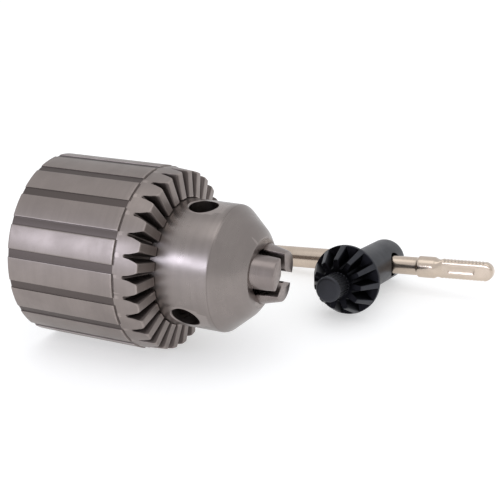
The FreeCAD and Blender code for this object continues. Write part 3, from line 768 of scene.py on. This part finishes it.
def jaw_points(angle, shift):
    """Rows of one jaw, each in a plane square to the chuck's axis.

    In such a plane the round part is an ellipse about the jaw's centre, and the grip is a
    narrow flat with a face at 60 degrees on each side. The outline is the nearest of these
    along each direction from the centre. Behind, a rack of teeth lowers the outer side, and
    a circle keeps the rear end inside the sleeve when the jaw is fully open."""
    size = settings().jaws
    columns = 192
    around = (np.arange(columns) + 0.5) * (2 * math.pi / columns)
    front, rear, teeth_end = JAW_FRONT, JAW_FRONT - 55.6 * MM, JAW_FRONT - 17.0 * MM
    pitch, depth, chamfer = 3.0 * MM, 1.1 * MM, 0.3 * MM
    toothed = np.arange(rear + chamfer, teeth_end, 0.25 * MM)
    plain = np.linspace(teeth_end, front - 0.35 * MM, 24)
    places = np.concatenate([[rear, rear + chamfer], toothed[1:], plain[1:],
                             [front - 0.2 * MM, front - 0.08 * MM, front]])
    inset = np.zeros(len(places))
    inset[0] = chamfer
    inset[-3:] = 0.03 * MM, 0.12 * MM, chamfer
    centre = (size.tip_offset + (front - places) * math.tan(size.lean))[:, None]
    across, up = np.cos(around)[None, :], np.sin(around)[None, :]
    half_tall = size.radius / math.cos(size.lean)
    reach = 1 / np.sqrt((across / half_tall) ** 2 + (up / size.radius) ** 2)
    reach = np.repeat(reach, len(places), axis=0)

    def softer(first, second, width):
        """Smaller of two values, rounded where they cross."""
        gap = np.clip(1 - np.abs(first - second) / width, 0, 1)
        return np.minimum(first, second) - gap ** 2 * width / 4

    def limited(reach, normal, distance):
        """Shorten the reach where it would pass a plane at a distance from the centre."""
        facing = across * normal[0] + up * normal[1]
        limit = np.where(facing > 1e-6, distance / np.maximum(facing, 1e-6), 1.0)
        return softer(reach, limit, 0.05 * MM)

    reach = limited(reach, (-1.0, 0.0), centre - size.grip)
    inward, sideways = math.cos(math.pi / 6), math.sin(math.pi / 6)
    for side in (-1, 1):
        distance = (centre - size.grip) * inward + size.grip_flat / 2 * sideways
        reach = limited(reach, (-inward, side * sideways), distance)
    wave = np.abs(((places - rear + shift * pitch) / pitch) % 1 - 0.5) * 2
    tooth = np.clip((wave - 0.15) / 0.7, 0, 1) * depth
    tooth = np.where((places < teeth_end - 1.0 * MM) & (places > rear + chamfer), tooth, 0.0)
    reach = limited(reach, (1.0, 0.0), half_tall - tooth[:, None])
    retreat = centre + size.open_lift
    inside = (retreat * across) ** 2 - retreat ** 2 + size.rear_limit ** 2
    edge = np.sqrt(np.clip(inside, 0, None)) - retreat * across
    reach = softer(reach, edge, 0.1 * MM) - inset[:, None]
    out = np.array([0.0, math.cos(angle), math.sin(angle)])
    side = np.array([0.0, -math.sin(angle), math.cos(angle)])
    radial, beside = (centre + reach * across)[..., None], (reach * up)[..., None]
    return places[:, None, None] * X_AXIS + radial * out + beside * side


class CHUCK_OT_jaws(bpy.types.Operator):
    """Build the three jaws"""
    bl_idname = "chuck.jaws"
    bl_label = "Jaws"

    def execute(self, context):
        finish = settings().finish
        steel = metal("jaw_steel", finish.jaws, finish.recess_shade, spacing=0.00014,
                      rough=0.30, bump=0.22)
        for number in range(3):
            angle = settings().jaws.first_turn + number * THIRD
            name = "jaw_%d" % (number + 1)
            jaw = piece(name + "_ground", jaw_points(angle, number / 3))
            note_places(jaw, no_hollows)
            finish_piece(jaw, name, steel, [name], sharp=28.0)
        return {"FINISHED"}


# ---- key

def key_matrix():
    """Frame of the key: X along the shank, centred on the rim, resting on the floor."""
    size = settings().key
    fall = math.atan2(size.rim_radius - size.shank_radius, size.shank_length)
    along = Vector((math.cos(size.heading) * math.cos(fall),
                    math.sin(size.heading) * math.cos(fall), -math.sin(fall)))
    across = along.cross(Vector((0, 0, 1))).normalized()
    upward = across.cross(along)
    side = upward.cross(along)
    height = size.rim_radius * math.cos(fall) + SLEEVE_LOW.z
    return frame_of(along, side, upward, (*size.place, height))


def key_gear_points():
    """Rows of the key from its pilot's face over the gear to the shank's end.

    On the gear the radius is a blend of a root cone and a crest cone by a share that
    depends on the distance from the nearest tooth space. The pilot's root is fluted."""
    size = settings().key
    columns = 440
    pitch = 2 * math.pi / size.teeth
    knots = [0, 5, 7, 10, 14, 15, 16, 20]
    shares = [0.0, 0.02, 0.10, 0.45, 0.93, 0.99, 1.0, 1.0]
    arcs = [0, 0.10, 0.15, 0.235, 0.335, 0.355, 0.375, 0.5]
    table, side, centre = pattern_columns(columns, size.teeth, knots, [arcs, shares])
    angle = centre + side * table[:, 0] * pitch
    level = table[:, 1]
    large, pilot = size.rim_radius / MM, size.pilot_radius / MM
    shank, end = size.shank_radius / MM, size.shank_length / MM
    root_small, root_large = 6.0, 8.4
    fluted = pilot - 0.22 + 0.16 * np.cos(angle * 2 * size.teeth)

    def tooth_radius(place):
        """Radius on the gear at a place behind the small end."""
        share = (place + GEAR_LENGTH) / GEAR_LENGTH
        crest = GEAR_SMALL_RADIUS + (large - GEAR_SMALL_RADIUS) * share
        root = root_small + (root_large - root_small) * share
        return root + (crest - root) * level

    stations = [(-18.1, 0.3), (-18.1, 3.6), (-18.1, pilot - 0.7), (-18.0, pilot - 0.5),
                (-17.5, pilot - 0.04), (-17.2, pilot)]
    stations += [(place, fluted) for place in (-16.4, -16.0, -14.0, -12.0, -10.0, -9.0)]
    stations += [(-8.75, pilot - 0.1), (-8.7, pilot + 0.4),
                 (-8.7, np.minimum(tooth_radius(-8.7) - 0.25, root_small + 3.15 * level)),
                 (-8.62, tooth_radius(-8.62) - 0.08), (-8.4, tooth_radius(-8.4))]
    stations += [(place, tooth_radius(place)) for place in np.linspace(-7.5, -0.6, 8)]
    stations += [(-0.35, tooth_radius(-0.35) + 0.12 * (1 - level)),
                 (-0.12, large - 0.30 * (1 - level)), (0.0, large - 0.05), (0.12, large),
                 (1.05, large), (1.2, large - 0.15), (1.2, shank + 1.2), (1.32, shank + 0.5),
                 (1.7, shank + 0.1)]
    stations += [(place, shank) for place in (2.2, 10.0, 18.0, 24.0, 34.2, 40.0, end - 1.4)]
    stations += [(end - 0.9, shank - 0.12), (end - 0.35, shank - 0.5),
                 (end - 0.05, shank - 1.1), (end, shank - 1.6), (end, 3.0), (end, 0.3)]
    return np.stack([ring_points(place * MM, radius * MM, angle)
                     for place, radius in stations])


def below_key(along, radius):
    """Depth below the gear's crest cone or below the shank."""
    size = settings().key
    crest = np.interp(along, [-GEAR_LENGTH * MM, 0.0],
                      [GEAR_SMALL_RADIUS * MM, size.rim_radius])
    on_gear = (along > -(GEAR_LENGTH + 0.01) * MM) & (along < 0.0)
    on_shank = (along > 2.5 * MM) & (along < size.shank_length - 1.5 * MM)
    return np.where(on_gear, crest - radius,
                    np.where(on_shank, size.shank_radius - radius, 0.0))


def handle_points():
    """Rows of the handle bar from its plain end to its thumb end.

    Each section is a superellipse: |y/thick|^n + |z/tall|^n = 1, round on the bar (n = 2)
    and squarer on the thumb end. Small hollows along the thumb's edges make serrations."""
    columns = 96
    bar = settings().key.bar_radius / MM
    end, tip, tall = -60.0, 47.3, 3.75
    stretches = rounded([
        (end, 0.4, 0), (end, bar, 1.0), (-8.3, bar, 0.1), (-7.9, bar - 0.1, 0),
        (-4.05, bar - 0.1, 0), (-4.05, 4.7, 0), (4.05, 4.7, 0), (4.05, 3.6, 0),
        (17.2, 3.6, 0.3), (17.9, 4.25, 0.3), (24.2, 4.25, 0.5), (27.2, 2.3, 0.8),
        (tip, 2.3, 0),
    ], steps=5)
    thumb, last, cap_length = 24.0, tip - 0.02, 1.2
    fine = np.arange(thumb, last, 0.14)
    cap = last - tall * (1 - np.sin(np.linspace(0.9, math.pi / 2, 8)))
    places = np.unique(np.concatenate([stretches[:, 0], np.arange(end + 1, thumb, 3.0),
                                       fine, cap]))
    order = np.argsort(stretches[:, 0], kind="stable")
    thick = np.interp(places, stretches[order, 0], stretches[order, 1])
    flat_start, flat_length = 24.4, 3.2
    flat = np.clip((places - flat_start) / flat_length, 0, 1)
    flat = flat * flat * (3 - 2 * flat)
    nose = np.sqrt(np.clip(1 - (np.clip(places - (tip - tall), 0, None) / tall) ** 2, 0, 1))
    high = (thick * (1 - flat) + tall * flat) * nose
    into_cap = (places - (tip - cap_length)) / cap_length
    wide = np.where(into_cap > 0, thick * np.sqrt(np.clip(1 - into_cap ** 2 * 0.75, 0, 1)),
                    thick)
    first, pitch, depth = 28.3, 1.38, 0.5
    beat = np.abs(((places - first) / pitch) % 1 - 0.5) * 2
    serrated = np.clip(1 - (1 - beat) * 1.5, 0, 1) * depth
    serrated *= (places > 27.7) & (places < 44.2)
    around = np.arange(columns) * (2 * math.pi / columns)
    power = (2 / (2 + 2.2 * flat))[:, None]
    cosine, sine = np.cos(around)[None, :], np.sin(around)[None, :]
    y = wide[:, None] * np.sign(cosine) * np.abs(cosine) ** power
    z = high[:, None] * np.sign(sine) * np.abs(sine) ** power
    z = z - np.sign(z) * serrated[:, None] * np.clip(np.abs(sine) * 1.6 - 0.6, 0, 1)
    slot_middle, slot_half, slot_depth = 35.0, 5.6, 0.4
    lengthways = np.clip(slot_half - np.abs(places - slot_middle), 0, 1)[:, None]
    recess = lengthways * np.clip((1.15 - np.abs(z)) / 0.6, 0, 1)
    y = y - np.sign(cosine) * slot_depth * recess
    x = np.repeat(places[:, None], columns, axis=1)
    return np.stack([x, y, z], axis=-1) * MM


class CHUCK_OT_key(bpy.types.Operator):
    """Build the key: gear, shank and handle bar"""
    bl_idname = "chuck.key"
    bl_label = "Key"

    def execute(self, context):
        size = settings().key
        finish = settings().finish
        place = key_matrix()
        gear = piece("key_forged", key_gear_points(), place=place)
        face_outwards(gear)
        crossing = (place @ Matrix.Translation((size.bar_place, 0, 0))
                    @ Matrix.Rotation(-size.bar_turn, 4, "X")
                    @ Matrix.Rotation(-math.pi / 2, 4, "Z"))
        hole = np.array([(-12.0, 8.7), (-7.3, 5.0), (-6.6, 4.72), (6.6, 4.72), (7.3, 5.0),
                         (12.0, 8.7)]) * MM
        carve(gear, [piece("cross_hole", lathe(hole, 64), place=crossing)])
        note_places(gear, below_key, place)
        # The second colour is the painted shade tint for tooth spaces, the cross hole and
        # concave corners.
        black = metal("black_oxide", finish.oxide, (0.011, 0.011, 0.014), spacing=0.00030,
                      rough=0.40, bump=0.25, edge_wear_and_highlight=0.0)
        finish_piece(gear, "key", black, ["key_gear"], sharp=30.0)
        handle = piece("key_bar", handle_points(), place=crossing)
        note_places(handle, no_hollows, crossing)
        # The second colour is the painted shade tint for concave corners.
        nickel = metal("nickel_plate", finish.nickel, (0.12, 0.09, 0.07), spacing=0.00045,
                       rough=0.20, bump=0.06, film=0.2, edge_wear_and_highlight=0.2)
        finish_piece(handle, "key", nickel, ["key_handle"], sharp=40.0)
        return {"FINISHED"}


# ---- hidden pieces

class CHUCK_OT_inside(bpy.types.Operator):
    """Give the nut and the ball bearing inside the sleeve their finishes"""
    bl_idname = "chuck.inside"
    bl_label = "Nut and bearing"

    def execute(self, context):
        finish = settings().finish
        # The second colour of each finish is the painted shade tint for concave corners.
        finishes = {
            "nut": metal("nut_steel", (0.26, 0.24, 0.23), finish.recess_shade, spacing=0.00025,
                         rough=0.40, bump=0.4, from_cad=True),
            "bearing": metal("bearing_steel", (0.62, 0.62, 0.62), (0.2, 0.2, 0.2),
                             spacing=0.0002, rough=0.16, bump=0.05, from_cad=True),
            "ball_cage": metal("cage_brass", (0.60, 0.42, 0.16), (0.2, 0.13, 0.05),
                               spacing=0.0003, rough=0.30, bump=0.2, from_cad=True),
        }
        for name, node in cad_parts.items():
            for start, material in finishes.items():
                if name.startswith(start):
                    node.data.materials.clear()
                    node.data.materials.append(material)
        return {"FINISHED"}


# ---- stage

def soft_light(name, place, target, size, power, tint=(1, 1, 1)):
    """Square soft box that faces a target."""
    data = bpy.data.lights.new(name, "AREA")
    data.shape = "RECTANGLE"
    data.size, data.size_y = size
    data.energy = power
    data.color = tint
    light = bpy.data.objects.new(name, data)
    light.location = place
    light.rotation_euler = (Vector(target) - Vector(place)).to_track_quat("-Z", "Y").to_euler()
    bpy.context.scene.collection.objects.link(light)


class CHUCK_OT_stage(bpy.types.Operator):
    """Put the chuck on a pale, softly glowing floor under soft light, with its camera"""
    bl_idname = "chuck.stage"
    bl_label = "Stage"

    def execute(self, context):
        scene = context.scene
        edge, gap, glow = 6.0, 0.00002, 0.48
        mesh = bpy.data.meshes.new("floor")
        mesh.from_pydata([(-edge, -edge, 0), (edge, -edge, 0), (edge, edge, 0),
                          (-edge, edge, 0)], [], [(0, 1, 2, 3)])
        mesh.transform(Matrix.Translation((0, 0, SLEEVE_LOW.z - gap)))
        floor = bpy.data.objects.new("floor", mesh)
        scene.collection.objects.link(floor)
        material = bpy.data.materials.new("pale_floor")
        material.use_nodes = True
        shader = material.node_tree.nodes["Principled BSDF"]
        shader.inputs["Base Color"].default_value = (*settings().finish.floor, 1)
        shader.inputs["Roughness"].default_value = 0.6
        # The floor glows a little as well, which lightens the shadows on it and the light it
        # throws back onto the metal.
        shader.inputs["Emission Color"].default_value = (1, 1, 1, 1)
        shader.inputs["Emission Strength"].default_value = glow
        mesh.materials.append(material)

        world = bpy.data.worlds.new("pale_room")
        world.use_nodes = True
        sky = world.node_tree.nodes["Background"]
        sky.inputs["Color"].default_value = (0.97, 0.98, 1.0, 1)
        sky.inputs["Strength"].default_value = 0.88
        scene.world = world
        middle = (0.055, 0.0, 0.0)
        soft_light("overhead_box", (0.05, -0.15, 0.90), middle, (0.8, 0.6), 1.2)
        soft_light("front_box", (-0.30, -0.78, 0.28), middle, (0.62, 0.19), 2.3,
                   (0.80, 0.84, 1.0))

        eye, backwards = (0.20785, -0.28932, 0.11535), (0.39661, -0.85994, 0.32125)
        data = bpy.data.cameras.new("view_camera")
        data.sensor_width = 36.0
        data.lens = 73.70
        data.clip_start, data.clip_end = 0.01, 20.0
        camera = bpy.data.objects.new("view_camera", data)
        back = Vector(backwards).normalized()
        right = Vector((0, 0, 1)).cross(back).normalized()
        upward = back.cross(right)
        camera.matrix_world = frame_of(right, upward, back, eye)
        scene.collection.objects.link(camera)
        scene.camera = camera
        scene.view_settings.view_transform = "Standard"
        return {"FINISHED"}


class CHUCK_PT_panel(bpy.types.Panel):
    """Sidebar panel that lists what can be built"""
    bl_idname = "CHUCK_PT_panel"
    bl_label = "Drill chuck"
    bl_space_type = "VIEW_3D"
    bl_region_type = "UI"
    bl_category = "Chuck"

    def draw(self, context):
        layout = self.layout
        for operator in OPERATORS:
            layout.operator(operator.bl_idname)
        for group in ("sleeve", "body", "jaws", "key", "finish"):
            box = layout.box()
            box.label(text=group.capitalize())
            part = getattr(context.scene.chuck, group)
            for name in part.__annotations__:
                box.prop(part, name)


OPERATORS = (CHUCK_OT_stage, CHUCK_OT_body, CHUCK_OT_sleeve, CHUCK_OT_jaws, CHUCK_OT_key,
             CHUCK_OT_inside)
CLASSES = (ChuckSleeveSettings, ChuckBodySettings, ChuckJawSettings, ChuckKeySettings,
           ChuckFinishSettings, ChuckSettings, *OPERATORS, CHUCK_PT_panel)


def register():
    """Add the settings, operators and panel."""
    for item in CLASSES:
        bpy.utils.register_class(item)
    bpy.types.Scene.chuck = PointerProperty(type=ChuckSettings)


def unregister():
    """Take them away again."""
    del bpy.types.Scene.chuck
    for item in reversed(CLASSES):
        bpy.utils.unregister_class(item)


def main():
    """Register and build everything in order."""
    register()
    for operator in OPERATORS:
        family, name = operator.bl_idname.split(".")
        getattr(getattr(bpy.ops, family), name)()


if __name__ == "__main__":
    main()
